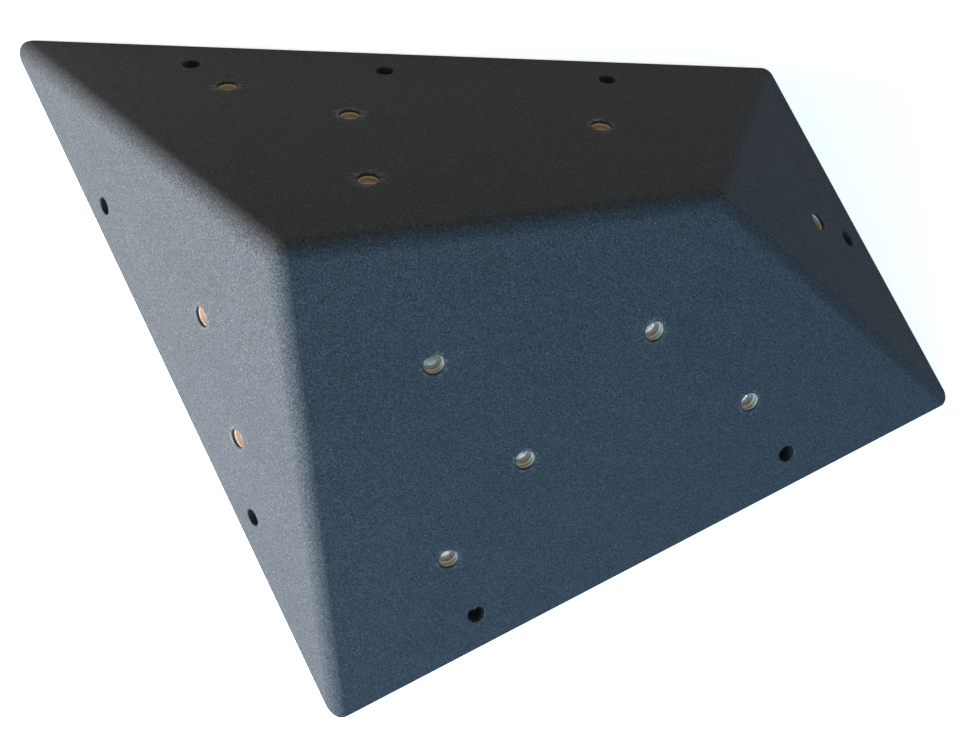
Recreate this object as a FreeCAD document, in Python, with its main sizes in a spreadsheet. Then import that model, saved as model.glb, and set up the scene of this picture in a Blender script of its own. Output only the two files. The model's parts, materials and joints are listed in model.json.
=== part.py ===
import FreeCAD, Part
import math
import os
import Sketcher
from FreeCAD import Placement, Rotation, Vector

# Climbing volume: a hollow plywood wedge for a climbing wall, in millimetres.
# Its open back lies on the wall plane z = 0, and +Z points out of the wall.
# The origin is the middle of the base rectangle. The long side of the base lies to -X,
# the short side to +X, and the lower edge to -Y.

SIZES = {
    # base outline: lower edge along X, two sides along Y, a slanting upper edge
    "base_width": 440.0,
    "long_side": 480.0,
    "short_side": 250.0,
    # angle of each face from the wall plane, in degrees
    "left_slope": 58.5,
    "upper_slope": 42.8,
    "right_slope": 44.25,
    "front_slope": 33.7,
    # sheet thicknesses and edge rounding
    "ply": 18.0,
    "coat": 1.0,
    "ridge_round": 12.0,
    "rim_lift": 0.5,
    # holes for bolt-on holds, and the threaded inserts in them
    "nut_hole": 12.0,
    "nut_fit": 0.1,
    "nut_bore": 8.5,
    "nut_barrel": 9.0,
    "flange_width": 25.0,
    "flange_thick": 1.8,
    "coat_hole_gap": 0.3,
    # four prongs, bent forward out of the flange, bite into the ply
    "prong_out": 9.2,
    "prong_thick": 1.3,
    "prong_root": 5.0,
    "prong_tip": 1.6,
    "prong_length": 7.0,
    "prong_fit": 0.1,
    # holes for the screws that fix the volume to the wall
    "fixing_head": 11.3,
    "fixing_head_depth": 8.0,
    "fixing_shank": 6.5,
    # battens round the base and along the ridges, inside
    "cleat_height": 10.0,
    "cleat_top_width": 22.0,
    "cleat_gap": 4.0,
    "block_leg": 24.0,
    "block_gap": 3.0,
    "block_upper_gap": 46.0,
}

# holes on each face: the base corner they are measured from, then along the edge and up the slope
SPOTS = {
    "nut": {
        "front": [
            ("first", 145.0, 190.5), ("second", 174.5, 148.0), ("second", 131.5, 73.5),
            ("first", 170.0, 109.5), ("first", 106.0, 71.5),
        ],
        "right": [("first", 140.5, 53.5)],
        "upper": [
            ("second", 148.0, 56.5), ("second", 224.5, 88.5), ("second", 240.0, 162.5),
            ("first", 123.0, 91.5),
        ],
        "left": [("first", 235.5, 80.0), ("second", 176.5, 52.0)],
    },
    "fixing": {
        "front": [("first", 106.0, 24.8), ("second", 117.0, 24.8)],
        "right": [("first", 124.0, 23.0)],
        "upper": [("second", 120.5, 27.5), ("second", 242.0, 26.5), ("first", 112.0, 27.5)],
        "left": [("first", 134.0, 21.5), ("second", 133.0, 22.5)],
    },
}

FACES = ("left", "upper", "right", "front")

# each face's outline from its first base corner, seen from outside with its ridge up
FACE_CORNERS = {
    "front": ("low_left", "low_right", "right_peak", "left_peak"),
    "right": ("low_right", "high_right", "right_peak"),
    "upper": ("high_right", "high_left", "left_peak", "right_peak"),
    "left": ("high_left", "low_left", "left_peak"),
}
# the peak that the ridge from each base corner climbs to
PEAK_ABOVE = {
    "low_left": "left_peak",
    "high_left": "left_peak",
    "low_right": "right_peak",
    "high_right": "right_peak",
}
# the faces beside each face, at its first and at its second corner
NEIGHBOURS = {
    "front": ("left", "right"),
    "right": ("front", "upper"),
    "upper": ("right", "left"),
    "left": ("upper", "front"),
}
# the angle of the base at a face's first and second corner
CORNER_ANGLES = {
    "front": ("90", "90"),
    "right": ("90", "(90 + lean)"),
    "upper": ("(90 + lean)", "(90 - lean)"),
    "left": ("(90 - lean)", "90"),
}
# these cleats run on to the panels at both ends, and the other two stop at them
LONG_CLEATS = ("front", "upper")
# each ridge's two ends, the faces on its two sides, and how alike these face in plan
RIDGES = {
    "upper_left": ("high_left", "left_peak", "upper", "left", "-sin(lean)"),
    "front_left": ("low_left", "left_peak", "left", "front", "0"),
    "summit": ("right_peak", "left_peak", "front", "upper", "-cos(lean)"),
    "upper_right": ("high_right", "right_peak", "right", "upper", "sin(lean)"),
    "front_right": ("low_right", "right_peak", "front", "right", "0"),
}
# share of a ridge's length by which a board runs on below the wall plane before it is sawn off
OVERRUN = 0.1

doc = FreeCAD.newDocument("climbing_volume")
pieces = []


def fill_sheet():
    """Write the driving sizes into the sheet, one named cell each."""
    sheet = doc.addObject("Spreadsheet::Sheet", "sizes")
    names = dict(SIZES)
    for kind, places in SPOTS.items():
        for face in FACES:
            for number, (_, along, up) in enumerate(places[face], start=1):
                names[f"{face}_{kind}_{number}_along"] = along
                names[f"{face}_{kind}_{number}_up"] = up
    for row, (name, value) in enumerate(names.items(), start=1):
        sheet.set(f"A{row}", name)
        sheet.set(f"B{row}", str(value))
        sheet.setAlias(f"B{row}", name)
    return sheet


# the three layers: outside of the coat, outside of the ply, inside of the ply
LAYERS = {"skin": "0", "wood": "sizes.coat", "room": "(sizes.coat + sizes.ply)"}


def cleat_cells():
    """Each cleat's reach in from its base edge, and how far it stops short of the corners."""
    cells = {}
    for face in FACES:
        cells[f"{face}_foot"] = f"(sizes.coat + sizes.ply) / sin(sizes.{face}_slope)"
        cells[f"{face}_shoulder"] = f"{face}_foot + sizes.cleat_height * run_{face}"
        cells[f"{face}_heel"] = f"{face}_shoulder + sizes.cleat_top_width"
    for face in FACES:
        stop = "shoulder" if face in LONG_CLEATS else "heel"
        for end, other, angle in zip(("first", "second"), NEIGHBOURS[face], CORNER_ANGLES[face]):
            lean_in = f"max({face}_heel * cos{angle}; {face}_foot * cos{angle})".replace("cos90", "cos(90)")
            turn = f"sin{angle}".replace("sin90", "sin(90)")
            cells[f"{face}_{end}_setback"] = f"({other}_{stop} + sizes.cleat_gap + {lean_in}) / {turn}"
    return cells


def fill_corners():
    """Work out the corners of each layer from the driving sizes, as formulas."""
    corners = doc.addObject("Spreadsheet::Sheet", "corners")
    cells = {
        "lean": "atan((sizes.long_side - sizes.short_side) / sizes.base_width) / 1 deg",
        "run_left": "1 / tan(sizes.left_slope)",
        "run_upper": "1 / tan(sizes.upper_slope)",
        "run_right": "1 / tan(sizes.right_slope)",
        "run_front": "1 / tan(sizes.front_slope)",
    }
    for layer, inset in LAYERS.items():
        west = f"(-sizes.base_width / 2 + {inset} / sin(sizes.left_slope))"
        east = f"(sizes.base_width / 2 - {inset} / sin(sizes.right_slope))"
        south = f"(-sizes.long_side / 2 + {inset} / sin(sizes.front_slope))"
        cells[f"{layer}_low_left_x"] = west
        cells[f"{layer}_low_left_y"] = south
        cells[f"{layer}_low_right_x"] = east
        cells[f"{layer}_low_right_y"] = south
        for side, x in (("high_left", west), ("high_right", east)):
            cells[f"{layer}_{side}_x"] = x
            cells[f"{layer}_{side}_y"] = (
                f"sizes.long_side / 2 - ({x} + sizes.base_width / 2) * tan(lean)"
                f" - {inset} / sin(sizes.upper_slope) / cos(lean)"
            )
        for side, turn in (("left", "+"), ("right", "-")):
            rise = (
                f"({layer}_high_{side}_y - {layer}_low_{side}_y) * cos(lean)"
                f" / (run_upper {turn} sin(lean) * run_{side} + cos(lean) * run_front)"
            )
            cells[f"{layer}_{side}_peak_z"] = rise
            cells[f"{layer}_{side}_peak_x"] = f"{layer}_low_{side}_x {turn} {layer}_{side}_peak_z * run_{side}"
            cells[f"{layer}_{side}_peak_y"] = f"{layer}_low_{side}_y + {layer}_{side}_peak_z * run_front"
    for ridge, (_, _, one, other, alike) in RIDGES.items():
        cells[f"{ridge}_mitre"] = (
            f"acos(sin(sizes.{one}_slope) * sin(sizes.{other}_slope) * {alike}"
            f" + cos(sizes.{one}_slope) * cos(sizes.{other}_slope)) / 2 deg"
        )
    cells.update({
        "front_edge": "sizes.base_width",
        "right_edge": "sizes.short_side",
        "upper_edge": "sizes.base_width / cos(lean)",
        "left_edge": "sizes.long_side",
    })
    cells.update(cleat_cells())
    for row, (name, formula) in enumerate(cells.items(), start=1):
        corners.set(f"A{row}", name)
        corners.setAlias(f"B{row}", name)
        corners.set(f"B{row}", f"={formula}")
    return corners


sizes = fill_sheet()
corners = fill_corners()
doc.recompute()


def size(name):
    return float(getattr(sizes, name))


def corner(layer, name):
    """A corner point of one layer, read from the sheet of corners."""
    height = float(getattr(corners, f"{layer}_{name}_z")) if name.endswith("peak") else 0.0
    along = [float(getattr(corners, f"{layer}_{name}_{axis}")) for axis in "xy"]
    return Vector(along[0], along[1], height)


def reading(formula):
    """The value of a formula as a plain number."""
    return float(corners.evalExpression(formula.replace("corners.", "")))


# Each face has a frame of its own: origin at its first base corner on the skin,
# X along the base edge, Y up the slope, Z outwards. These are its turn and its plan directions.
TURN = {"front": "0", "right": "90", "upper": "180 - corners.lean", "left": "-90"}
EDGE = {
    "front": ("1", "0"),
    "right": ("0", "1"),
    "upper": ("-cos(corners.lean)", "sin(corners.lean)"),
    "left": ("0", "-1"),
}
INWARD = {
    "front": ("0", "1"),
    "right": ("-1", "0"),
    "upper": ("-sin(corners.lean)", "-cos(corners.lean)"),
    "left": ("1", "0"),
}


def frame_of(face, tilted=True):
    """Placement formula of a face's frame, tilted onto the face or flat on the wall."""
    first = FACE_CORNERS[face][0]
    tilt = f"sizes.{face}_slope" if tilted else "0"
    base = f"create(<<vector>>; corners.skin_{first}_x; corners.skin_{first}_y; 0)"
    turn = f"create(<<rotation>>; {TURN[face]}; 0; {tilt})"
    return f"create(<<placement>>; {base}; {turn})"


def shift_in(face, along, up, out):
    """Placement formula of a point in a face's frame."""
    base = f"create(<<vector>>; {along}; {up}; {out})"
    move = f"create(<<placement>>; {base}; create(<<rotation>>; 0; 0; 0))"
    return f"{frame_of(face)} * {move}"


def on_face(face, layer, name):
    """Formulas of a corner's two coordinates in a face's frame."""
    first = FACE_CORNERS[face][0]
    dx = f"(corners.{layer}_{name}_x - corners.skin_{first}_x)"
    dy = f"(corners.{layer}_{name}_y - corners.skin_{first}_y)"
    along = f"({dx} * {EDGE[face][0]} + {dy} * {EDGE[face][1]})"
    up = f"({dx} * {INWARD[face][0]} + {dy} * {INWARD[face][1]}) * cos(sizes.{face}_slope)"
    if name.endswith("peak"):
        up += f" + corners.{layer}_{name}_z * sin(sizes.{face}_slope)"
    return along, f"({up})"


def board_corner(face, name):
    """The same on the skin, with a base corner moved down its ridge to leave wood for the saw."""
    here = on_face(face, "skin", name)
    if name.endswith("peak"):
        return here
    peak = on_face(face, "skin", PEAK_ABOVE[name])
    return tuple(f"{low} - {OVERRUN} * ({high} - {low})" for low, high in zip(here, peak))


def spots(kind, face):
    """Formulas of the places of a face's holes of one kind, in the face's frame."""
    places = []
    for number, (end, *_) in enumerate(SPOTS[kind][face], start=1):
        along = f"sizes.{face}_{kind}_{number}_along"
        if end == "second":
            along = f"(corners.{face}_edge - {along})"
        places.append((along, f"sizes.{face}_{kind}_{number}_up"))
    return places


def spot_points(kind, face, out):
    """The same places as points, at a height above the face."""
    return [Vector(reading(along), reading(up), out) for along, up in spots(kind, face)]


def face_frame(face):
    """The same frame as numbers, for shapes that are set directly."""
    lean = float(corners.lean)
    turn = {"front": 0.0, "right": 90.0, "upper": 180.0 - lean, "left": -90.0}[face]
    return Placement(corner("skin", FACE_CORNERS[face][0]), Rotation(turn, 0, size(f"{face}_slope")))


def origin_plane(body, role):
    return next(feature for feature in body.Origin.OriginFeatures if feature.Role == role)


def add_sketch(body, name, role="XY_Plane", offset=None):
    sketch = body.newObject("Sketcher::SketchObject", name)
    sketch.AttachmentSupport = (origin_plane(body, role), "")
    sketch.MapMode = "FlatFace"
    if offset:
        sketch.setExpression("AttachmentOffset.Base.z", offset)
    return sketch


# a formula for no distance, with the same kind of number as the sizes
NONE = "0 * sizes.ply"


def hold_point(sketch, line, end, across, up):
    """Tie a point of a sketch to two formulas, measured from the sketch's origin."""
    for kind, formula in (("DistanceX", across), ("DistanceY", up)):
        point = sketch.getPoint(line, end)
        now = point.x if kind == "DistanceX" else point.y
        row = sketch.addConstraint(Sketcher.Constraint(kind, -1, 1, line, end, now))
        sketch.setExpression(f"Constraints[{row}]", formula)


def add_outline(body, name, points, role="XY_Plane", offset=None):
    """A closed outline of straight lines, with each corner tied to its formulas."""
    sketch = add_sketch(body, name, role, offset)
    places = [Vector(sketch.evalExpression(a), sketch.evalExpression(b), 0) for a, b in points]
    count = len(places)
    for index in range(count):
        sketch.addGeometry(Part.LineSegment(places[index], places[(index + 1) % count]))
    for index in range(count):
        sketch.addConstraint(Sketcher.Constraint("Coincident", index, 2, (index + 1) % count, 1))
    for index, (across, up) in enumerate(points):
        hold_point(sketch, index, 1, across, up)
    return sketch


def add_circles(body, name, places, width, offset=None, role="XY_Plane"):
    """Equal circles on a sketch, each centre tied to two formulas."""
    sketch = add_sketch(body, name, role, offset)
    for across, up in places:
        centre = Vector(sketch.evalExpression(across), sketch.evalExpression(up), 0)
        radius = sketch.evalExpression(width) / 2
        circle = sketch.addGeometry(Part.Circle(centre, Vector(0, 0, 1), radius))
        row = sketch.addConstraint(Sketcher.Constraint("Diameter", circle, 2 * radius))
        sketch.setExpression(f"Constraints[{row}]", width)
        hold_point(sketch, circle, 3, across, up)
    return sketch


def cut_through(body, sketch):
    """Cut a sketch's outline right through what lies below it."""
    before = body.Shape.Volume
    pocket = body.newObject("PartDesign::Pocket", sketch.Name + "_cut")
    pocket.Profile = sketch
    pocket.Type = 1
    doc.recompute()
    assert body.Shape.Volume < before, f"{pocket.Name} removes nothing"
    return pocket


def cut_to(body, sketch, depth):
    pocket = cut_through(body, sketch)
    pocket.Type = 0
    pocket.setExpression("Length", depth)
    doc.recompute()
    return pocket


def ridge_edges(shape, layer):
    """Numbers of a form's edges that lie on its five ridges."""
    found = []
    for start, end, *_ in RIDGES.values():
        middle = (corner(layer, start) + corner(layer, end)) / 2
        gaps = [edge.distToShape(Part.Vertex(middle))[0] for edge in shape.Edges]
        found.append(gaps.index(min(gaps)) + 1)
    return found


def rounded_form(layer, inset, ridge_radius):
    """The solid wedge inside one layer's four faces, with its ridges rounded."""
    blocks = []
    reach = "(sizes.base_width + sizes.long_side)"
    for face in FACES:
        block = doc.addObject("Part::Box", f"{layer}_{face}_side")
        for side in ("Length", "Width", "Height"):
            block.setExpression(side, f"2 * {reach}")
        block.setExpression("Placement", shift_in(face, f"-{reach} / 2", f"-{reach}", f"-2 * {reach} - {inset}"))
        blocks.append(block)
    wall = doc.addObject("Part::Box", f"{layer}_wall_side")
    for side in ("Length", "Width", "Height"):
        wall.setExpression(side, f"2 * {reach}")
    for axis in "xy":
        wall.setExpression(f"Placement.Base.{axis}", f"-{reach}")
    sharp = doc.addObject("Part::MultiCommon", f"{layer}_sharp_form")
    sharp.Shapes = blocks + [wall]
    sharp.Refine = True
    doc.recompute()
    form = doc.addObject("Part::Fillet", f"{layer}_form")
    form.Base = sharp
    radius = sharp.evalExpression(ridge_radius)
    form.Edges = [(number, radius, radius) for number in ridge_edges(sharp.Shape, layer)]
    doc.recompute()
    return form


def keep(feature, label):
    """Name a finished piece; the name is also its file's name."""
    feature.Label = label
    pieces.append(feature)
    return feature


def side_name(shape, middle):
    """Name of the side of a board that lies nearest to a point."""
    gaps = [side.distToShape(Part.Vertex(middle))[0] for side in shape.Faces]
    return f"Face{gaps.index(min(gaps)) + 1}"


def make_panel(face, wood_form):
    """One ply panel: a straight board whose edges are leaned to their mitres, then drilled."""
    names = FACE_CORNERS[face]
    outline = [board_corner(face, name) for name in names]
    points = [Vector(reading(along), reading(up), 0) for along, up in outline]
    body = doc.addObject("PartDesign::Body", f"{face}_blank")
    sketch = add_outline(body, f"{face}_outline", outline)
    board = body.newObject("PartDesign::Pad", f"{face}_board")
    board.Profile = sketch
    board.setExpression("Length", "sizes.coat + sizes.ply")
    board.Reversed = True
    doc.recompute()
    for ridge, (start, end, *_) in RIDGES.items():
        if start in names and end in names:
            middle = (points[names.index(start)] + points[names.index(end)]) / 2
            side = side_name(board.Shape, middle - Vector(0, 0, size("ply") / 2))
            mitre = body.newObject("PartDesign::Draft", f"{face}_{ridge}_mitre")
            mitre.Base = (board, [side])
            mitre.NeutralPlane = (origin_plane(body, "XY_Plane"), [""])
            mitre.Reversed = True
            mitre.setExpression("Angle", f"corners.{ridge}_mitre")
            doc.recompute()
            assert mitre.Shape.Volume < board.Shape.Volume, f"{mitre.Name} leans outwards"
            board = mitre
    holes = add_circles(body, f"{face}_nut_holes", spots("nut", face), "sizes.nut_hole")
    cut_through(body, holes)
    heads = add_circles(body, f"{face}_screw_heads", spots("fixing", face), "sizes.fixing_head")
    cut_to(body, heads, "sizes.fixing_head_depth + sizes.coat")
    shanks = add_circles(body, f"{face}_screw_shanks", spots("fixing", face), "sizes.fixing_shank")
    cut_through(body, shanks)
    body.setExpression("Placement", frame_of(face))
    doc.recompute()
    rounded = doc.addObject("Part::Common", f"{face}_rounded")
    rounded.Base = body
    rounded.Tool = wood_form
    doc.recompute()
    panel = doc.addObject("Part::Cut", f"{face}_panel_feature")
    panel.Base = rounded
    panel.Tool = prong_slots(face)
    return keep(panel, f"{face}_panel")


def prong_slots(face):
    """The slots that the inserts' prongs press into a panel's back, a close fit all round."""
    back = -size("coat") - size("ply")
    fit = size("prong_fit")
    root = size("prong_root") / 2 + fit
    tip = size("prong_tip") / 2 + fit
    deep = size("prong_length") + fit
    near = size("prong_out") - fit
    thick = size("prong_thick") + 2 * fit
    points = [Vector(near, y, z) for y, z in ((-root, 0), (root, 0), (tip, deep), (-tip, deep), (-root, 0))]
    slot = Part.Face(Part.makePolygon(points)).extrude(Vector(thick, 0, 0))
    slots = []
    for middle in spot_points("nut", face, back):
        for turn in (0, 90, 180, 270):
            copy = slot.copy()
            copy.Placement = Placement(middle, Rotation(turn, 0, 0))
            slots.append(copy)
    feature = doc.addObject("Part::Feature", f"{face}_prong_slots")
    feature.Shape = Part.makeCompound(slots)
    feature.Placement = face_frame(face)
    return feature


def make_t_nut(face, number, place):
    """A threaded insert: a barrel in the hole, and a flange on the panel's back with four prongs."""
    label = f"{face}_t_nut_{number}" if len(SPOTS["nut"][face]) > 1 else f"{face}_t_nut"
    body = doc.addObject("PartDesign::Body", f"{face}_nut_{number}_body")
    bore = "sizes.nut_bore / 2"
    barrel = "sizes.nut_hole / 2 - sizes.nut_fit"
    rim = "sizes.flange_width / 2"
    profile = add_outline(
        body, f"{face}_nut_{number}_profile",
        [
            (bore, "-sizes.flange_thick"), (rim, "-sizes.flange_thick"), (rim, NONE),
            (barrel, NONE), (barrel, "sizes.nut_barrel"), (bore, "sizes.nut_barrel"),
        ],
        role="XZ_Plane",
    )
    turned = body.newObject("PartDesign::Revolution", f"{face}_nut_{number}_turned")
    turned.Profile = profile
    turned.ReferenceAxis = (origin_plane(body, "Z_Axis"), [""])
    turned.Angle = 360
    doc.recompute()
    root, tip = "sizes.prong_root / 2", "sizes.prong_tip / 2"
    prong = add_outline(
        body, f"{face}_nut_{number}_prong",
        [(f"-{root}", NONE), (root, NONE), (tip, "sizes.prong_length"), (f"-{tip}", "sizes.prong_length")],
        role="YZ_Plane", offset="sizes.prong_out",
    )
    bent = body.newObject("PartDesign::Pad", f"{face}_nut_{number}_prong_pad")
    bent.Profile = prong
    bent.setExpression("Length", "sizes.prong_thick")
    doc.recompute()
    out = "sizes.prong_out + sizes.prong_thick"
    notch = cut_through(body, add_outline(
        body, f"{face}_nut_{number}_notch",
        [(out, f"-{root}"), (rim, f"-{root}"), (rim, root), (out, root)],
    ))
    ring = body.newObject("PartDesign::PolarPattern", f"{face}_nut_{number}_ring")
    ring.Originals = [bent, notch]
    ring.Axis = (origin_plane(body, "Z_Axis"), [""])
    ring.Angle = 360
    ring.Occurrences = 4
    body.Tip = ring
    body.setExpression("Placement", shift_in(face, *place, "-sizes.coat - sizes.ply"))
    doc.recompute()
    return keep(body, label)


def make_coat(skin_form, wood_form):
    """The grit coat: a thin shell over the four faces, open at every hole and along its rim."""
    shell = doc.addObject("Part::Cut", "coat_shell")
    shell.Base = skin_form
    shell.Tool = wood_form
    doc.recompute()
    drills = []
    deep = size("coat") * 6
    gap = size("coat_hole_gap")
    for kind, width in (("nut", "nut_hole"), ("fixing", "fixing_head")):
        for face in FACES:
            for foot in spot_points(kind, face, -deep / 2):
                drill = Part.makeCylinder(size(width) / 2 + gap, deep, foot)
                drill.Placement = face_frame(face)
                drills.append(drill)
    reach = size("base_width") + size("long_side")
    lift = size("rim_lift")
    drills.append(Part.makeBox(reach, reach, reach, Vector(-reach / 2, -reach / 2, lift - reach)))
    openings = doc.addObject("Part::Feature", "coat_openings")
    openings.Shape = Part.makeCompound(drills)
    coat = doc.addObject("Part::Cut", "coat_feature")
    coat.Base = shell
    coat.Tool = openings
    return keep(coat, "grip_coating")


def make_cleat(face):
    """A batten glued inside along a base edge, bevelled to the panel's slope."""
    body = doc.addObject("PartDesign::Body", f"{face}_cleat_body")
    foot, shoulder, heel = (f"corners.{face}_{name}" for name in ("foot", "shoulder", "heel"))
    section = add_outline(
        body, f"{face}_cleat_section",
        [(foot, NONE), (heel, NONE), (heel, "sizes.cleat_height"), (shoulder, "sizes.cleat_height")],
        role="YZ_Plane",
    )
    start, end = f"corners.{face}_first_setback", f"corners.{face}_second_setback"
    pad = body.newObject("PartDesign::Pad", f"{face}_cleat_pad")
    pad.Profile = section
    pad.setExpression("Length", f"corners.{face}_edge - {start} - {end}")
    move = f"create(<<placement>>; create(<<vector>>; {start}; 0; 0); create(<<rotation>>; 0; 0; 0))"
    body.setExpression("Placement", f"{frame_of(face, tilted=False)} * {move}")
    doc.recompute()
    long = size("base_width")
    radius = size("fixing_shank") / 2
    drills = [Part.makeCylinder(radius, 2 * long, foot) for foot in spot_points("fixing", face, -long)]
    drill = doc.addObject("Part::Feature", f"{face}_cleat_drills")
    drill.Shape = Part.makeCompound(drills)
    drill.Placement = face_frame(face)
    cleat = doc.addObject("Part::Cut", f"{face}_cleat_feature")
    cleat.Base = body
    cleat.Tool = drill
    return keep(cleat, f"{face}_cleat")


def flange_in_way(face, start, line, leg):
    """How far up a ridge the first insert's flange begins that a block's leg would meet."""
    reach = size("flange_width") / 2 + size("block_gap")
    ends = []
    for spot in spot_points("nut", face, -size("coat") - size("ply")):
        away = face_frame(face).multVec(spot) - start
        if away.dot(leg) / leg.Length < leg.Length + reach:
            ends.append(away.dot(line) - reach)
    return min(ends, default=math.inf)


def make_block(ridge):
    """A three-cornered batten glued behind a ridge, clear of the cleats and the inserts."""
    start_name, end_name, *faces, _ = RIDGES[ridge]
    start, end = corner("room", start_name), corner("room", end_name)
    line = (end - start).normalize()
    legs = []
    for face, side in zip(faces, (1, -1)):
        outward = face_frame(face).Rotation.multVec(Vector(0, 0, 1))
        legs.append(outward.cross(line).normalize() * size("block_leg") * side)
    low = size("block_upper_gap")
    if not start_name.endswith("peak"):
        droop = min(legs[0].z, legs[1].z, 0)
        low = (size("cleat_height") + size("block_gap") - droop) / line.z
    stops = [flange_in_way(face, start, line, leg) for face, leg in zip(faces, legs)]
    high = min((end - start).Length - size("block_upper_gap"), *stops)
    foot = start + line * low
    section = Part.Face(Part.makePolygon([foot, foot + legs[0], foot + legs[1], foot]))
    block = doc.addObject("Part::Feature", f"{ridge}_batten")
    block.Shape = section.extrude(line * (high - low))
    return keep(block, f"{ridge}_block")


def build():
    skin_form = rounded_form("skin", "0", "sizes.ridge_round")
    wood_form = rounded_form("wood", "sizes.coat", "sizes.ridge_round - sizes.coat")
    for face in FACES:
        make_panel(face, wood_form)
    make_coat(skin_form, wood_form)
    for face in FACES:
        make_cleat(face)
    for ridge in RIDGES:
        make_block(ridge)
    for face in FACES:
        for number, place in enumerate(spots("nut", face), start=1):
            make_t_nut(face, number, place)
    doc.recompute()


def check_and_write():
    """Stop on any failed feature, then write each piece to its own file."""
    for item in doc.Objects:
        assert "Invalid" not in item.State and "Error" not in item.State, f"{item.Name}: {item.State}"
    for piece in pieces:
        assert not piece.Shape.isNull() and piece.Shape.isValid(), f"{piece.Label} is not a valid solid"
        assert piece.Shape.Solids, f"{piece.Label} has no solid"
    os.makedirs("parts", exist_ok=True)
    for piece in pieces:
        piece.Shape.exportStep(f"parts/{piece.Label}.step")
        box = piece.Shape.optimalBoundingBox()
        print(
            piece.Label, len(piece.Shape.Solids), round(piece.Shape.Volume),
            [round(v, 1) for v in (box.XMin, box.YMin, box.ZMin, box.XMax, box.YMax, box.ZMax)],
        )


build()
check_and_write()
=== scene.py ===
# %% [markdown]
# # A climbing volume
# This lesson gives a climbing volume its looks. On a climbing wall, a volume is a hollow
# wedge of plywood that is screwed on to change the wall's shape. Holds are bolted to it in turn.
# The construction comes ready made from CAD: panels, cleats, blocks, inserts and coat.
# Here each of them gets its finish, and the coat and the inserts get finer shapes.

# %% Load the frame
import json
from math import atan2, cos, pi, radians, sin, tan

import bmesh
import bpy
from mathutils import Matrix, Vector

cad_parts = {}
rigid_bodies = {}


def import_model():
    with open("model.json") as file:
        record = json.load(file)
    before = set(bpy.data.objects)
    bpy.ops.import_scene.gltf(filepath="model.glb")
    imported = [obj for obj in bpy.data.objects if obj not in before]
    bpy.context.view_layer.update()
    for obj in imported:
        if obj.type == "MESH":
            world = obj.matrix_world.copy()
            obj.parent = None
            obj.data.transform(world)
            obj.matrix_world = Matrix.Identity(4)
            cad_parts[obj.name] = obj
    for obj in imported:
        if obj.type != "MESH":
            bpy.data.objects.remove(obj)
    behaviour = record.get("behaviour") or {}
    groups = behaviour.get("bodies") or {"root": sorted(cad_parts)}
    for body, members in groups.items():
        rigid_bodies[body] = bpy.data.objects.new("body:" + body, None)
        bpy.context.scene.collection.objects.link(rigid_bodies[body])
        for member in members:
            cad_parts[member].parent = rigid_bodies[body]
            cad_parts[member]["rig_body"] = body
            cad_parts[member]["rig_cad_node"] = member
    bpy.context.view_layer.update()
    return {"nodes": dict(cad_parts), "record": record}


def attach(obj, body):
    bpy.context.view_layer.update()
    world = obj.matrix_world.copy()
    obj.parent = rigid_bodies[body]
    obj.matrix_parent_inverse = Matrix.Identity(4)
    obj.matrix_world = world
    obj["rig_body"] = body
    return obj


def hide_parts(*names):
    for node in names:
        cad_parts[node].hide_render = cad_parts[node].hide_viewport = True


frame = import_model()
MM = 0.001

# %% [markdown]
# Blender's operators act on whatever is selected, so each step starts from a clean selection.
# These few helpers pick one object, pick the corners, edges or faces of a mesh by a rule,
# and apply a modifier.

# %% Helpers for selecting
def leave_all():
    """Go back to object mode with nothing selected."""
    if bpy.context.object and bpy.context.object.mode != "OBJECT":
        bpy.ops.object.mode_set(mode="OBJECT")
    bpy.ops.object.select_all(action="DESELECT")


def pick(piece):
    """Select one object alone and make it the active one."""
    leave_all()
    piece.select_set(True)
    bpy.context.view_layer.objects.active = piece


def edit(piece, kind="FACE", rule=None):
    """Enter edit mode with only the elements that a rule keeps selected."""
    pick(piece)
    bpy.ops.object.mode_set(mode="EDIT")
    bpy.ops.mesh.select_mode(type=kind)
    bpy.ops.mesh.select_all(action="SELECT" if rule is None else "DESELECT")
    if rule is not None:
        mesh = bmesh.from_edit_mesh(piece.data)
        parts = {"VERT": mesh.verts, "EDGE": mesh.edges, "FACE": mesh.faces}[kind]
        for part in parts:
            part.select_set(rule(part))
        bmesh.update_edit_mesh(piece.data)


def apply_place(piece):
    """Move an object's place, turn and scale into its mesh."""
    pick(piece)
    bpy.ops.object.transform_apply(location=True, rotation=True, scale=True)


def modify(piece, kind, **settings):
    """Add a modifier with these settings and apply it."""
    pick(piece)
    modifier = piece.modifiers.new(kind.title(), kind)
    for name, value in settings.items():
        setattr(modifier, name, value)
    bpy.ops.object.modifier_apply(modifier=modifier.name)


def cut(piece, tool):
    """Subtract one closed mesh from another, and put the tool away."""
    modify(piece, "BOOLEAN", operation="DIFFERENCE", solver="EXACT", object=tool)
    bpy.data.objects.remove(tool)


def smooth_by_angle(piece, degrees):
    """Shade smooth, but keep every edge sharper than this."""
    pick(piece)
    bpy.ops.object.shade_smooth_by_angle(angle=radians(degrees))


def count(piece):
    """The number of triangles."""
    return sum(len(face.vertices) - 2 for face in piece.data.polygons)


# %% [markdown]
# ## The faces
# The base is a four-cornered outline on the wall, and one flat face climbs from each of its edges.
# A point and an outward direction are enough to describe a face. The hole places come from the
# part's own record, where every bolt and screw hole is written down as a mount.

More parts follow.
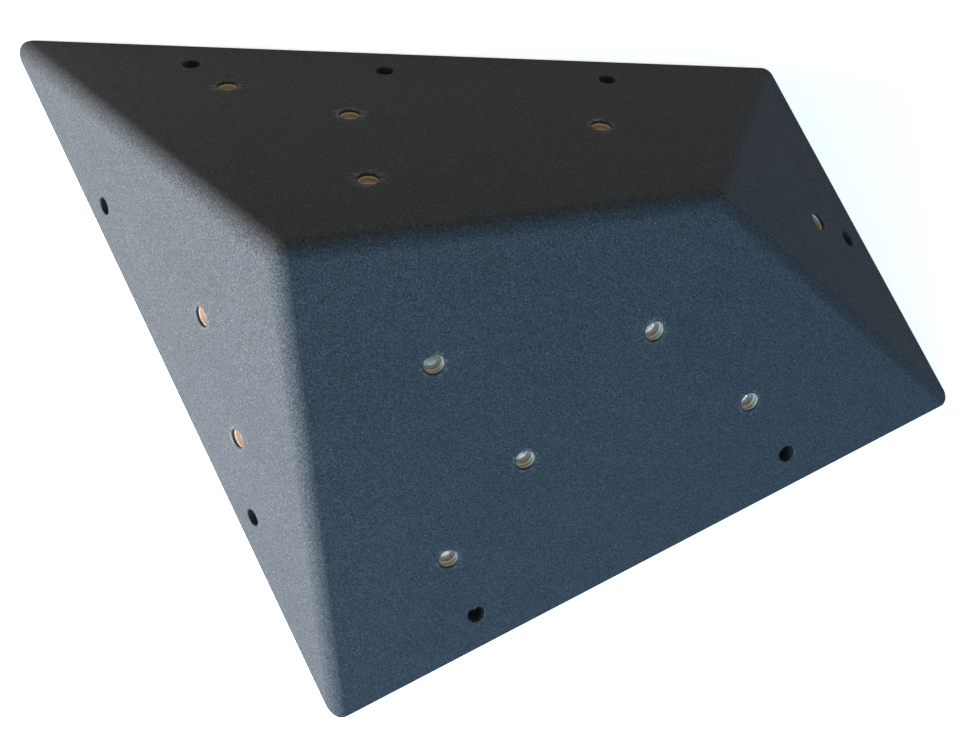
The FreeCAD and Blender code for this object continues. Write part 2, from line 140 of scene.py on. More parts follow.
# %% Faces and holes
BASE_WIDTH, LONG_SIDE, SHORT_SIDE = 0.440, 0.480, 0.250
SLOPES = {"left": 58.5, "upper": 42.8, "right": 44.25, "front": 33.7}
COAT, PLY = 1.0 * MM, 18.0 * MM
UP = Vector((0, 0, 1))
lean = atan2(LONG_SIDE - SHORT_SIDE, BASE_WIDTH)
EDGE_WAY = {
    "front": Vector((1, 0, 0)),
    "right": Vector((0, 1, 0)),
    "upper": Vector((-cos(lean), sin(lean), 0)),
    "left": Vector((0, -1, 0)),
}
EDGE_START = {
    "front": Vector((-BASE_WIDTH / 2, -LONG_SIDE / 2, 0)),
    "right": Vector((BASE_WIDTH / 2, -LONG_SIDE / 2, 0)),
    "upper": Vector((BASE_WIDTH / 2, SHORT_SIDE - LONG_SIDE / 2, 0)),
    "left": Vector((-BASE_WIDTH / 2, LONG_SIDE / 2, 0)),
}


def away(face):
    """The level direction out from the base edge of a face."""
    return EDGE_WAY[face].cross(UP)


def outward(face):
    """The direction that a face looks in."""
    slope = radians(SLOPES[face])
    return away(face) * sin(slope) + UP * cos(slope)


def face_turn(face):
    """A turn whose X runs along the face's base edge, Y up the slope and Z outwards."""
    along, out = EDGE_WAY[face], outward(face)
    return Matrix((along, out.cross(along), out)).transposed().to_4x4()


def read_holes(kind):
    """Every mount of one kind: its name, its face, and where its axis leaves the skin."""
    found = []
    for mount in frame["record"]["mounts"]:
        if mount["kind"] == kind:
            face = mount["name"].split("_")[0]
            point, out = Vector(mount["pos_m"]), outward(face)
            found.append((mount["name"], face, point - out * (point - EDGE_START[face]).dot(out)))
    return found


insert_holes = read_holes("threaded_hole")
screw_holes = read_holes("bore")
print(len(insert_holes), "insert holes,", len(screw_holes), "screw holes")

# %% [markdown]
# ## The coat
# The real wedge is painted with a thick paint full of sand, which rounds the ridges and turns
# over into the holes. A sculpted or displaced mesh would be heavy. Here a cube is bisected by the
# four faces, as a saw would do it, and its ridges are bevelled. The bevel's width at each ridge is
# chosen so that every ridge gets the same radius, whatever the angle between its faces.

# %% Saw the wedge and round its ridges
RIDGE_ROUND = 12.0 * MM
RIDGE_STEPS = 14
BASE_FACE = -0.5  # a normal's height below which a face is the underside


def add_wedge(name, inset, bottom, radius):
    """A closed wedge inside the four faces, set in from them, with rounded ridges."""
    down = (0, 0, -1)
    leave_all()
    bpy.ops.mesh.primitive_cube_add(size=1, location=(0, 0, 0.1), scale=(0.6, 0.6, 0.3))
    wedge = bpy.context.object
    wedge.name = name
    apply_place(wedge)
    for face in SLOPES:
        edit(wedge)
        bpy.ops.mesh.bisect(
            plane_co=EDGE_START[face] - outward(face) * inset, plane_no=outward(face),
            use_fill=True, clear_outer=True,
        )
    leave_all()
    mesh = bmesh.new()
    mesh.from_mesh(wedge.data)
    widths = {}
    for edge in mesh.edges:
        if min(face.normal.z for face in edge.link_faces) > BASE_FACE:
            widths[edge.index] = radius * tan(edge.calc_face_angle() / 2)
    mesh.free()
    weights = wedge.data.attributes.new("bevel_weight_edge", "FLOAT", "EDGE")
    widest = max(widths.values())
    for index, width in widths.items():
        weights.data[index].value = width / widest
    modify(wedge, "BEVEL", limit_method="WEIGHT", width=widest, segments=RIDGE_STEPS)
    edit(wedge)
    bpy.ops.mesh.bisect(
        plane_co=(0, 0, bottom), plane_no=down, use_fill=True, clear_outer=True
    )
    leave_all()
    return wedge


RIM_LIFT = 0.5 * MM  # the paint stops just above the wall
BELOW = -10.0 * MM  # a tool reaches past what it cuts
coat = add_wedge("grip_coat", 0.0, RIM_LIFT, RIDGE_ROUND)
wood = add_wedge("wood_form", COAT, BELOW, RIDGE_ROUND - COAT)
print("wedge:", len(coat.data.vertices), "vertices")

# %% [markdown]
# The paint runs a little way into each bolt hole, and lines each screw hole down to its floor.
# So the inner form gets shallow pits at the holes before it is taken out of the outer one,
# and then a flared plug is taken out at each hole. Each tool is a circle that is extruded
# and scaled step by step, and what stays between tool and wood is the rounded paint.

# %% Tools that shape the holes
HOLE_STEPS = 48
REACH = 4.0 * MM  # how far a tool stands past the skin or the wood


def add_turned(name, rings):
    """A closed round shape from rings of (radius, height), extruded one after the other."""
    leave_all()
    radius, height = rings[0]
    bpy.ops.mesh.primitive_circle_add(
        vertices=HOLE_STEPS, radius=radius, fill_type="NGON", location=(0, 0, height)
    )
    shape = bpy.context.object
    shape.name = name
    apply_place(shape)
    edit(shape)
    for wider, higher in rings[1:]:
        grow, rise = wider / radius, higher - height
        bpy.ops.mesh.extrude_region_move(TRANSFORM_OT_translate={"value": (0, 0, rise)})
        bpy.ops.transform.resize(value=(grow, grow, 1), center_override=(0, 0, higher))
        radius, height = wider, higher
    bpy.ops.mesh.select_all(action="SELECT")
    bpy.ops.mesh.normals_make_consistent(inside=False)
    leave_all()
    return shape


def rounded_mouth(radius, lip, steps=5):
    """Rings that widen in a quarter circle, up to just above the skin."""
    rings = []
    for step in range(steps + 1):
        angle = pi / 2 * step / steps
        rings.append((radius + lip * (1 - cos(angle)), lip * (sin(angle) - 1)))
    wide = radius + lip
    return rings[:-1] + [(wide + 0.03 * MM, 0.02 * MM), (wide + 0.05 * MM, REACH)]


def at_holes(shape, holes):
    """Copy a shape to every hole, with its Z axis out of the face, and join the copies."""
    copies = []
    for _, face, point in holes:
        pick(shape)
        bpy.ops.object.duplicate()
        copy = bpy.context.object
        copy.matrix_world = Matrix.Translation(point) @ face_turn(face)
        apply_place(copy)
        copies.append(copy)
    leave_all()
    for copy in copies:
        copy.select_set(True)
    bpy.context.view_layer.objects.active = copies[0]
    bpy.ops.object.join()
    bpy.data.objects.remove(shape)
    return bpy.context.object


# %% Shape the coat's holes
INSERT_HOLE, SCREW_HEAD, SCREW_SHANK = 6.0 * MM, 5.65 * MM, 3.25 * MM  # radii
SCREW_SINK = 9.0 * MM  # from the skin down to the floor of a screw hole
PAINT_RUN = 0.7 * MM  # how far paint runs into a bolt hole
PAINT_FILM = 0.2 * MM
INSERT_LIP, SCREW_LIP = 0.9 * MM, 0.8 * MM  # how widely the paint rounds over
OVERLAP = 0.02 * MM  # keeps two tools from sharing a wall

pit_wall = INSERT_HOLE - OVERLAP
pit = add_turned("pit", [(pit_wall, -COAT - PAINT_RUN), (pit_wall, COAT)])
cut(wood, at_holes(pit, insert_holes))
pit_wall = SCREW_HEAD - OVERLAP
pit = add_turned("pit", [(pit_wall, -SCREW_SINK + OVERLAP), (pit_wall, COAT)])
cut(wood, at_holes(pit, screw_holes))
cut(coat, wood)

narrow = INSERT_HOLE - PAINT_FILM
mouth = add_turned("mouth", [(narrow, -REACH)] + rounded_mouth(narrow, INSERT_LIP))
cut(coat, at_holes(mouth, insert_holes))
narrow = SCREW_HEAD - PAINT_FILM
cup_floor = -SCREW_SINK + PAINT_FILM
cup = [
    (SCREW_SHANK, -SCREW_SINK - 3 * MM), (SCREW_SHANK, cup_floor), (narrow, cup_floor + 0.01 * MM)
]
cup = add_turned("cup", cup + rounded_mouth(narrow, SCREW_LIP))
cut(coat, at_holes(cup, screw_holes))
edit(coat, "VERT")
bpy.ops.mesh.remove_doubles(threshold=0.005 * MM)
bpy.ops.mesh.delete_loose()
smooth_by_angle(coat, 35)
modify(coat, "WEIGHTED_NORMAL", weight=100, keep_sharp=True)
print("coat:", count(coat), "triangles")

# %% [markdown]
# ## The inserts
# Each bolt hole has a T-nut behind it: a threaded barrel in the hole and a flange on the panel's
# back with four prongs that bite into the ply. A plain tube would do from afar, but light plays on
# the thread and on the rolled lip. The thread is one tooth swept along a helix with a Screw
# modifier. It is cut off square and closed, and then taken out of the turned body.

# %% The thread as a plug
BARREL, FLANGE = 9.0 * MM, 1.8 * MM
BARREL_RADIUS = 5.7 * MM
BORE, PITCH = 4.25 * MM, 1.5 * MM
THREAD_DEEP = 0.72 * MM
TURNS, TURN_STEPS = 11, 36
TOOTH = [(0, 0.10), (1, 0.44), (1, 0.62), (0, 0.96), (0, 1.0)]  # depth and share of the pitch


def add_thread_plug():
    """A closed plug with an M10 thread, to be taken out of a solid nut."""
    leave_all()
    start = -FLANGE - 2 * PITCH
    bpy.ops.mesh.primitive_plane_add(size=1 * MM)
    plug = bpy.context.object
    plug.name = "thread_plug"
    edit(plug)
    bpy.ops.mesh.delete(type="VERT")
    mesh = bmesh.from_edit_mesh(plug.data)
    last = mesh.verts.new((BORE, 0, start))
    for deep, share in TOOTH:
        vert = mesh.verts.new((BORE + deep * THREAD_DEEP, 0, start + share * PITCH))
        mesh.edges.new((last, vert))
        last = vert
    bmesh.update_edit_mesh(plug.data)
    leave_all()
    modify(
        plug, "SCREW", axis="Z", angle=2 * pi, screw_offset=PITCH, iterations=TURNS,
        steps=TURN_STEPS, render_steps=TURN_STEPS, use_merge_vertices=True,
        merge_threshold=0.001 * MM,
    )
    past = 0.5 * MM
    for height, way in ((-FLANGE - past, -1), (BARREL + past, 1)):
        edit(plug)
        bpy.ops.mesh.bisect(
            plane_co=(0, 0, height), plane_no=(0, 0, way), use_fill=True, clear_outer=True
        )
    edit(plug)
    bpy.ops.mesh.remove_doubles(threshold=0.002 * MM)
    bpy.ops.mesh.normals_make_consistent(inside=False)
    leave_all()
    return plug


# %% The turned body, the notches and the prongs
def add_turned_body():
    """The barrel and flange, with the thread, the back funnel and the lead-in cut."""
    rim = 12.5 * MM
    nut = add_turned("insert", [
        (rim - 0.4 * MM, -FLANGE), (rim, -FLANGE + 0.4 * MM),
        (rim, -0.3 * MM), (rim - 0.3 * MM, 0),
        (BARREL_RADIUS + 0.35 * MM, 0), (BARREL_RADIUS, 0.35 * MM),
        (BARREL_RADIUS, BARREL - 0.6 * MM), (BARREL_RADIUS - 0.18 * MM, BARREL - 0.2 * MM),
        (BARREL_RADIUS - 0.6 * MM, BARREL),
    ])
    cut(nut, add_thread_plug())
    cut(nut, add_turned("funnel", [
        (BORE + 2.0 * MM, -FLANGE - 1 * MM), (BORE + 1.9 * MM, -FLANGE),
        (BORE + 1.25 * MM, -FLANGE + 0.3 * MM), (BORE + 0.85 * MM, -FLANGE + 0.9 * MM),
        (BORE - 0.2 * MM, -FLANGE + 2.2 * MM),
    ]))
    cut(nut, add_turned("lead_in", [
        (BORE - 0.2 * MM, BARREL - 1.3 * MM), (BORE + 0.75 * MM, BARREL - 0.35 * MM),
        (BORE + 1.0 * MM, BARREL), (BORE + 1.1 * MM, BARREL + 1 * MM),
    ]))
    return nut


def add_block(centre, size):
    """A box at its place and size, with both in its mesh."""
    leave_all()
    bpy.ops.mesh.primitive_cube_add(size=1)
    block = bpy.context.object
    block.matrix_world = Matrix.Translation(centre) @ Matrix.Diagonal((*size, 1))
    apply_place(block)
    return block


def turn_piece(piece, turn):
    """Turn a piece about the Z axis, in its mesh."""
    piece.matrix_world = turn
    apply_place(piece)


PRONG_OUT, PRONG_THICK = 9.2 * MM, 1.3 * MM  # place and thickness of a prong, from the axis out
PRONG_ROOT, PRONG_TIP, PRONG_LONG = 5.0 * MM, 1.6 * MM, 7.0 * MM
PRONG_SUNK = 0.6 * MM  # how much of a prong lies inside the flange


def add_insert():
    """One T-nut at the origin, with its barrel along +Z and its flange below z = 0."""
    nut = add_turned_body()
    prongs = []
    for quarter in range(4):
        turn = Matrix.Rotation(quarter * pi / 2, 4, "Z")
        notch = add_block(
            (PRONG_OUT + PRONG_THICK + 2 * MM, 0, 0), (4 * MM, PRONG_ROOT, 9 * MM)
        )
        turn_piece(notch, turn)
        cut(nut, notch)
        prong = add_block(
            (PRONG_OUT + PRONG_THICK / 2, 0, (PRONG_LONG - PRONG_SUNK) / 2),
            (PRONG_THICK, PRONG_ROOT, PRONG_LONG + PRONG_SUNK),
        )
        edit(prong, "FACE", lambda face: face.normal.z > 0.5)
        bpy.ops.transform.resize(
            value=(0.6, PRONG_TIP / PRONG_ROOT, 1), center_override=(PRONG_OUT, 0, PRONG_LONG)
        )
        modify(prong, "BEVEL", limit_method="ANGLE", width=0.2 * MM, segments=2)
        turn_piece(prong, turn)
        prongs.append(prong)
    pick(nut)
    for prong in prongs:
        prong.select_set(True)
    bpy.ops.object.join()
    edit(nut, "VERT")
    bpy.ops.mesh.remove_doubles(threshold=0.003 * MM)
    bpy.ops.mesh.delete_loose()
    smooth_by_angle(nut, 38)
    return nut


insert = add_insert()
print("insert:", count(insert), "triangles")

# %% Put an insert in every bolt hole
inserts = []
for name, face, point in insert_holes:
    pick(insert)
    bpy.ops.object.duplicate()
    nut = bpy.context.object
    node = name.removesuffix("_thread")
    nut.name = node.replace("t_nut", "insert")
    seat = point - outward(face) * (COAT + PLY)
    nut.matrix_world = Matrix.Translation(seat) @ face_turn(face)
    apply_place(nut)
    inserts.append((nut, node))
bpy.data.objects.remove(insert)
print(len(inserts), "inserts placed")

# %% [markdown]
# ## The battens
# Cleats along the base and three-cornered blocks behind the ridges hold the panels together.
# The CAD pieces have knife-sharp edges, and a planed batten has not. A copy of each is merged,
# cleared of the lines across its flat sides, and eased with a narrow bevel.

# %% Ease the edges of the battens
def eased_copy(node, width):
    """A copy of a CAD node with soft edges and its own mesh."""
    pick(frame["nodes"][node])
    bpy.ops.object.duplicate()
    batten = bpy.context.object
    batten.parent = None
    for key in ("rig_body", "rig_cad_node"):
        del batten[key]
    batten.name = node + "_wood"
    edit(batten)
    bpy.ops.mesh.remove_doubles(threshold=0.01 * MM)
    bpy.ops.mesh.dissolve_limited(angle_limit=radians(1))
    modify(
        batten, "BEVEL", limit_method="ANGLE", angle_limit=radians(35), width=width, segments=2
    )
    smooth_by_angle(batten, 35)
    return batten


EASED = 0.5 * MM
battens = {}
for node in frame["nodes"]:
    if node.endswith(("_cleat", "_block")):
        battens[node] = eased_copy(node, EASED)
print(len(battens), "battens,", sum(count(batten) for batten in battens.values()), "triangles")

# %% [markdown]
# ## Materials
# Every finish is a node tree that reads Object coordinates, so a pattern stays put on its piece.
# These helpers add one node and join it up in a line, to keep the trees short to read.

# %% Helpers for node trees
class Finish:
    """A material under construction, with short ways to add and join nodes."""

    def __init__(self, name):
        self.material = bpy.data.materials.new(name)
        self.material.use_nodes = True
        self.tree = self.material.node_tree
        self.shader = self.tree.nodes["Principled BSDF"]
        self.place = self.tree.nodes.new("ShaderNodeTexCoord").outputs["Object"]

    def put(self, socket, value):
        """Join a node's output to a socket, or write a plain value there."""
        if isinstance(value, bpy.types.NodeSocket):
            self.tree.links.new(value, socket)
        else:
            socket.default_value = (*value, 1) if socket.type == "RGBA" else value

    def add(self, kind, inputs, **settings):
        """A node with these inputs and settings."""
        node = self.tree.nodes.new("ShaderNode" + kind)
        for name, value in settings.items():
            setattr(node, name, value)
        for key, value in inputs.items():
            self.put(node.inputs[key], value)
        return node

    def math(self, operation, first, second=0.0):
        return self.add("Math", {0: first, 1: second}, operation=operation).outputs[0]

    def times(self, *factors):
        """The product of several numbers or outputs."""
        product = factors[0]
        for factor in factors[1:]:
            product = self.math("MULTIPLY", product, factor)
        return product

    def along(self, way):
        """How far the surface lies along a direction."""
        node = self.add("VectorMath", {0: self.place, 1: tuple(way)}, operation="DOT_PRODUCT")
        return node.outputs["Value"]

    def stretch(self, point, scale):
        return self.add("Mapping", {"Vector": point, "Scale": scale}).outputs[0]

    def noise(self, scale, detail=2.0, point=None, rough=0.5):
        inputs = {
            "Vector": point or self.place, "Scale": scale, "Detail": detail, "Roughness": rough
        }
        return self.add("TexNoise", inputs).outputs["Fac"]

    def ramp(self, value, stops):
        """A colour ramp, whose stops are (place, colour) or (place, grey)."""
        node = self.add("ValToRGB", {"Fac": value})
        while len(node.color_ramp.elements) < len(stops):
            node.color_ramp.elements.new(0.5)
        for element, (place, colour) in zip(node.color_ramp.elements, stops):
            element.position = place
            element.color = (colour,) * 3 + (1,) if isinstance(colour, float) else (*colour, 1)
        return node.outputs["Color"]

    def mix(self, share, first, second, blend="MIX"):
        node = self.add("Mix", {}, data_type="RGBA", blend_type=blend)
        for row, value in ((0, share), (6, first), (7, second)):
            self.put(node.inputs[row], value)
        return node.outputs[2]

    def set(self, **sockets):
        """Fill the shader's own sockets."""
        for name, value in sockets.items():
            self.put(self.shader.inputs[name.replace("_", " ")], value)

    def bump(self, height, distance, strength=1.0):
        node = self.add("Bump", {"Height": height, "Distance": distance, "Strength": strength})
        self.tree.links.new(node.outputs["Normal"], self.shader.inputs["Normal"])


# %% [markdown]
# The paint is nearly black with a faint blue cast. Its sand shows as a fine even grain about half
# a millimetre wide, and it scatters light so widely that there is hardly any gloss. Voronoi cells
# give each grain its own tone and its own height, and the brightest few grains are painted glints.
# A finer sand noise raises the surface and is also coloured darker in its pits and lighter on its
# tops, as painted shade and painted light. Round the bolt holes the paint is rubbed and dusty,
# because holds are turned tight there, so the distance to the nearest hole fades that in. The
# upper face also has a few short scratches beside its holes, drawn by a stretched noise.

# %% The grit paint
GRAINS, SAND, CLOUDS, RUBS = 1900.0, 1100.0, 22.0, 420.0  # patterns per metre
DARK_PAINT, PALE_PAINT = (0.026, 0.0285, 0.0315), (0.034, 0.0365, 0.040)
DUST, BARE_SCRATCH = (0.20, 0.18, 0.15), (0.30, 0.27, 0.22)


def nearest_hole(finish, holes):
    """The distance from the shaded point to the nearest of these holes."""
    nearest = 1.0
    for _, _, point in holes:
        reach = finish.add(
            "VectorMath", {0: finish.place, 1: tuple(point)}, operation="DISTANCE"
        )
        nearest = finish.math("MINIMUM", reach.outputs["Value"], nearest)
    return nearest


def add_rubbing(paint, colour):
    """Pale patches in a narrow ring round every bolt hole."""
    centimetres = paint.times(nearest_hole(paint, insert_holes), 100.0)
    ring = paint.ramp(centimetres, [(0.66, 0.0), (0.71, 1.0), (0.78, 0.35), (0.95, 0.0)])
    patchy = paint.ramp(paint.noise(RUBS, 3.0, rough=0.7), [(0.50, 0.0), (0.60, 1.0)])
    return paint.mix(paint.times(ring, patchy, 0.5), colour, DUST)


def add_scratches(paint, colour):
    """Short scratches along the upper face, beside its bolt holes."""
    way = EDGE_WAY["upper"]
    rise = outward("upper").cross(way)
    flat = paint.add("CombineXYZ", {0: paint.along(way), 1: paint.along(rise)})
    streaks = paint.noise(1.0, 2.0, paint.stretch(flat.outputs[0], (130.0, 1500.0, 1.0)))
    scratch = paint.ramp(streaks, [(0.58, 0.0), (0.64, 1.0)])
    reach = nearest_hole(paint, [hole for hole in insert_holes if hole[1] == "upper"])
    beside = [(0.49, 0.0), (0.53, 1.0), (0.70, 0.6), (0.96, 0.0)]  # 1.0 is 12.5 mm away
    beside = paint.ramp(paint.times(reach, 80.0), beside)
    return paint.mix(paint.times(scratch, beside, 0.8), colour, BARE_SCRATCH)


def make_grit():
    paint = Finish("grit_coat")
    grain = paint.add("TexVoronoi", {"Vector": paint.place, "Scale": GRAINS}, feature="F1")
    cell = paint.add("SeparateColor", {"Color": grain.outputs["Color"]})
    sand = paint.noise(SAND, 3.0, rough=0.75)
    colour = paint.mix(paint.noise(CLOUDS, 4.0, rough=0.6), DARK_PAINT, PALE_PAINT)
    # each grain's own tone, except that the top stops paint the brightest grains as painted glints
    grain_tones_and_glints = [(0.0, 0.55), (0.5, 0.95), (0.95, 1.4), (0.99, 2.0)]
    colour = paint.mix(1.0, colour, paint.ramp(cell.outputs[0], grain_tones_and_glints), "MULTIPLY")
    # painted shade in the sand's low pits and painted light on its raised tops, following the bump
    pit_shade_and_sand_light = paint.ramp(sand, [(0.30, 0.35), (0.64, 1.50)])
    colour = paint.mix(1.0, colour, pit_shade_and_sand_light, "MULTIPLY")
    colour = add_scratches(paint, add_rubbing(paint, colour))
    paint.set(Base_Color=colour, Roughness=0.8, Specular_IOR_Level=0.12)
    height = paint.times(cell.outputs[1], 0.7)
    height = paint.math("SUBTRACT", height, grain.outputs["Distance"])
    paint.bump(paint.math("ADD", height, sand), 0.20 * MM, 0.8)
    return paint.material


coat.data.materials.append(make_grit())
print("grit paint made")

# %% [markdown]
# Plywood is a stack of thin veneers with their grain crossed. So the pattern is solid: the depth
# below the face picks the veneer, and each veneer is drawn with its own direction of grain. Any
# cut through it then shows the right stripes, in a drilled hole as well as on a sloping rim.

# %% The plywood
VENEERS = 9
VENEER = PLY / VENEERS
SKIN = 0.2  # keeps the outer and inner faces inside their veneers, clear of a glue line
PALE_VENEER = [(0.3, (0.79, 0.67, 0.53)), (0.62, (0.89, 0.78, 0.66))]
DARK_VENEER = [(0.3, (0.44, 0.31, 0.22)), (0.65, (0.60, 0.45, 0.34))]
GLUE_LINE = (0.20, 0.11, 0.06)


def make_ply(name, face):
    ply = Finish(name)
    out, along = outward(face), EDGE_WAY[face]
    skin = float((EDGE_START[face] - out * COAT).dot(out))
    depth = ply.math("SUBTRACT", skin, ply.along(out))
    layer = ply.math("MINIMUM", ply.math("DIVIDE", depth, VENEER), VENEERS - SKIN)
    layer = ply.math("MAXIMUM", layer, SKIN)
    number = ply.math("FLOOR", layer)
    crossed = ply.math("GREATER_THAN", ply.math("MODULO", number, 2.0), 0.5)
    flat = ply.add("CombineXYZ", {
        0: ply.along(along), 1: ply.along(out.cross(along)), 2: ply.times(number, 0.37)
    }).outputs[0]
    grain_long = ply.stretch(flat, (6.0, 90.0, 1.0))
    grain_cross = ply.stretch(flat, (90.0, 6.0, 1.0))
    point = ply.add("Mix", {0: crossed, 4: grain_long, 5: grain_cross}, data_type="VECTOR")
    streak = ply.noise(3.0, 5.0, point.outputs[1], 0.6)
    wood_colour = ply.mix(
        crossed, ply.ramp(streak, PALE_VENEER), ply.ramp(streak, DARK_VENEER)
    )
    middle = ply.math("SUBTRACT", ply.math("FRACT", layer), 0.5)
    inside = ply.math("LESS_THAN", ply.math("ABSOLUTE", middle), 0.46)
    ply.set(
        Base_Color=ply.mix(inside, GLUE_LINE, wood_colour), Roughness=0.75,
        Specular_IOR_Level=0.3,
    )
    ply.bump(streak, 0.1 * MM, 0.5)
    return ply.material


for face in SLOPES:
    node = frame["nodes"][f"{face}_panel"]
    material = make_ply(f"birch_ply_{face}", face)
    if node.data.materials:
        for row in range(len(node.data.materials)):
            node.data.materials[row] = material
    else:
        node.data.materials.append(material)
print("plywood on", len(SLOPES), "panels")

# %% [markdown]
# The battens are planed softwood: straight, slightly wavy rings that run the length of the piece,
# with broad pale early wood and thin darker late wood. The rings are circles round a heart
# line far to one side, stretched along the grain, and noise bends them.

# %% The softwood
CLEAT_WOOD = ((0.62, 0.46, 0.28), (0.45, 0.29, 0.15))
BLOCK_WOOD = ((0.72, 0.52, 0.30), (0.48, 0.27, 0.12))
AGED = (0.50, 0.33, 0.17)
HEART = (0, 0.09, 0.05)  # how far off the heart of the log lies, in metres
RIDGE_FACES = {
    "upper_left": ("upper", "left"), "front_left": ("front", "left"),
    "summit": ("front", "upper"), "upper_right": ("upper", "right"),
    "front_right": ("front", "right"),
}


def make_softwood(name, way, pale, dark):
    pine = Finish(name)
    way = Vector(way).normalized()
    side = way.cross(Vector((0.3, 0.2, 1))).normalized()
    rise = way.cross(side)
    point = pine.add(
        "CombineXYZ", {0: pine.along(way), 1: pine.along(side), 2: pine.along(rise)}
    ).outputs[0]
    long = pine.stretch(point, (0.12, 1.0, 1.0))
    bend = pine.noise(9.0, 3.0, long)
    ring_place = pine.add("Mapping", {"Vector": long, "Location": HEART}).outputs[0]
    wave = pine.add("TexWave", {
        "Vector": ring_place, "Scale": 60.0, "Distortion": 1.5, "Detail": 2.0,
        "Detail Scale": 1.5, "Phase Offset": 0.4,
    }, wave_type="RINGS", rings_direction="X").outputs["Fac"]
    fibre = pine.noise(2.0, 4.0, pine.stretch(point, (12.0, 400.0, 400.0)))
    rings = pine.ramp(wave, [(0.0, pale), (0.6, pale), (0.92, dark), (1.0, pale)])
    shade = pine.ramp(fibre, [(0.35, 0.35), (0.65, 0.9)])
    colour = pine.mix(0.25, rings, shade, "MULTIPLY")
    colour = pine.mix(pine.times(bend, 0.4), colour, AGED)
    pine.set(Base_Color=colour, Roughness=0.7, Specular_IOR_Level=0.3)
    pine.bump(fibre, 0.08 * MM, 0.4)
    return pine.material


for node, batten in battens.items():
    name, kind = node.rsplit("_", 1)
    if kind == "cleat":
        way, slot, shades = EDGE_WAY[name], "cleat_ply", CLEAT_WOOD
    else:
        one, other = RIDGE_FACES[name]
        way, slot, shades = outward(one).cross(outward(other)), "softwood", BLOCK_WOOD
    batten.data.materials.clear()
    batten.data.materials.append(make_softwood(f"{slot}_{name}", way, *shades))
    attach(batten, "root")
    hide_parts(node)
print("softwood on", len(battens), "battens")

# %% [markdown]
# The inserts are pressed steel with a bright zinc plating. It is a metal with a fine cloudy
# spangle, so noise varies both its brightness and its roughness a little.

# %% The zinc plating
def make_zinc():
    zinc = Finish("zinc_steel")
    cloud = zinc.noise(350.0, 4.0)
    colour = zinc.ramp(cloud, [(0.3, (0.76, 0.78, 0.80)), (0.7, (0.90, 0.91, 0.92))])
    rough = zinc.ramp(zinc.noise(900.0, 2.0), [(0.3, 0.18), (0.7, 0.32)])
    zinc.set(Base_Color=colour, Metallic=1.0, Roughness=rough)
    zinc.bump(cloud, 0.02 * MM, 0.5)
    return zinc.material


zinc = make_zinc()
for nut, node in inserts:
    nut.data.materials.clear()
    nut.data.materials.append(zinc)
    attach(nut, "root")
    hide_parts(node)
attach(coat, "root")
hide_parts("grip_coating")

# %% [markdown]
# ## Floor, light and camera
# The volume lies on its open back on a pale floor. Two soft lamps stand low on its left and
# brighten the steep left face, a wide one above them shines into the bolt holes, a blue one lights
# the front as a clear sky would, and the world fills in the rest. The white of the floor and the
# room is a glow that only the camera, mirrors and glass see, so it doesn't light the paint. Under
# the hollow volume the glow stops, and its inside stays dark.

# %% Floor
FLOOR_SIZE, FLOOR_DROP = 8.0, 0.4 * MM
FLOOR_COLOUR, FLOOR_GLOW = (0.72, 0.72, 0.72), 0.60
GLOW_EDGE = 5.0 * MM  # how far the glow runs under the base


def shown_rays(tree):
    """1 for what the camera, mirrors and glass see, and 0 for light that falls on things."""
    seen = tree.nodes.new("ShaderNodeLightPath").outputs
    shown = seen["Is Camera Ray"]
    for way in ("Is Glossy Ray", "Is Transmission Ray"):
        larger = tree.nodes.new("ShaderNodeMath")
        larger.operation = "MAXIMUM"
        tree.links.new(shown, larger.inputs[0])
        tree.links.new(seen[way], larger.inputs[1])
        shown = larger.outputs[0]
    return shown


leave_all()
bpy.ops.mesh.primitive_plane_add(size=FLOOR_SIZE, location=(0, 0, -FLOOR_DROP))
floor = bpy.context.object
floor.name = "floor"
apply_place(floor)
ground = Finish("pale_floor")
beyond = -1.0  # how far a point of the floor lies outside the wedge's base
for face, start in EDGE_START.items():
    past_edge = ground.math("SUBTRACT", ground.along(away(face)), start.dot(away(face)))
    beyond = ground.math("MAXIMUM", beyond, past_edge)
open_floor = ground.math("GREATER_THAN", beyond, -GLOW_EDGE)
ground.set(
    Base_Color=FLOOR_COLOUR, Roughness=0.9, Specular_IOR_Level=0.0,
    Emission_Color=(1.0, 1.0, 1.0),
    Emission_Strength=ground.times(shown_rays(ground.tree), open_floor, FLOOR_GLOW),
)
floor.data.materials.append(ground.material)

# %% Lamps
AIM = (0, 0, 0.05)


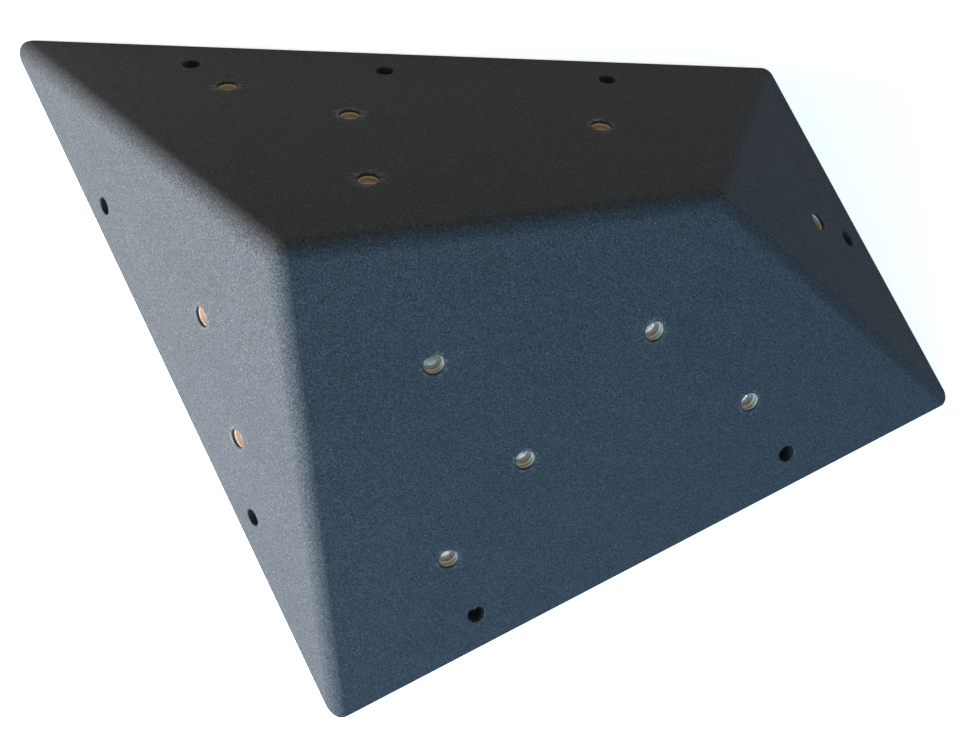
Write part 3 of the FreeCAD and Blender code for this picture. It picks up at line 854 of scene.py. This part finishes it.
def around(turn, rise, far):
    """A place at a distance from the aim, by its turn from +X and its rise in degrees."""
    flat = cos(radians(rise)) * far
    turn = radians(turn)
    return flat * cos(turn), flat * sin(turn), AIM[2] + sin(radians(rise)) * far


def add_lamp(name, place, size, power, colour):
    """A soft square lamp that faces the volume."""
    leave_all()
    bpy.ops.object.light_add(type="AREA", location=place)
    lamp = bpy.context.object
    lamp.name = name
    lamp.rotation_euler = (Vector(AIM) - Vector(place)).to_track_quat("-Z", "Y").to_euler()
    lamp.data.shape = "SQUARE"
    lamp.data.size = size
    lamp.data.energy = power
    lamp.data.color = colour


add_lamp("warm_left_lamp", around(167, 7, 1.8), 0.5, 98, (1.0, 0.77, 0.59))
add_lamp("cool_left_lamp", around(180, 8, 1.8), 0.5, 108, (0.60, 0.82, 1.0))
add_lamp("high_left_lamp", around(207, 31, 2.6), 1.4, 73, (0.34, 0.68, 1.0))
add_lamp("blue_front_lamp", around(279, 25, 1.8), 1.2, 31, (0.05, 0.45, 1.0))

# %% World
FILL = (0.42, 0.38, 0.27)  # the light that the world casts on the object
world = bpy.data.worlds.new("studio")
bpy.context.scene.world = world
world.use_nodes = True
sky = world.node_tree
fill = sky.nodes.new("ShaderNodeVectorMath")
fill.operation = "MAXIMUM"
fill.inputs[1].default_value = FILL
sky.links.new(shown_rays(sky), fill.inputs[0])
sky.links.new(fill.outputs[0], sky.nodes["Background"].inputs["Color"])

# %% [markdown]
# The camera hangs almost straight above the volume, a little to its front left, as the
# photographer's did. Its place, turn and lens come from the same fit as the volume's corners.

# %% Camera
camera_data = bpy.data.cameras.new("camera")
camera = bpy.data.objects.new("camera", camera_data)
bpy.context.scene.collection.objects.link(camera)
camera.location = (-0.10572, -0.13754, 0.63576)
camera.rotation_euler = (radians(6.801), radians(-2.875), radians(-26.600))
camera_data.sensor_width = 36
camera_data.lens = 37.863
camera_data.clip_start = 0.01
bpy.context.scene.camera = camera
bpy.context.scene.view_settings.view_transform = "Standard"

# %% Finish
leave_all()
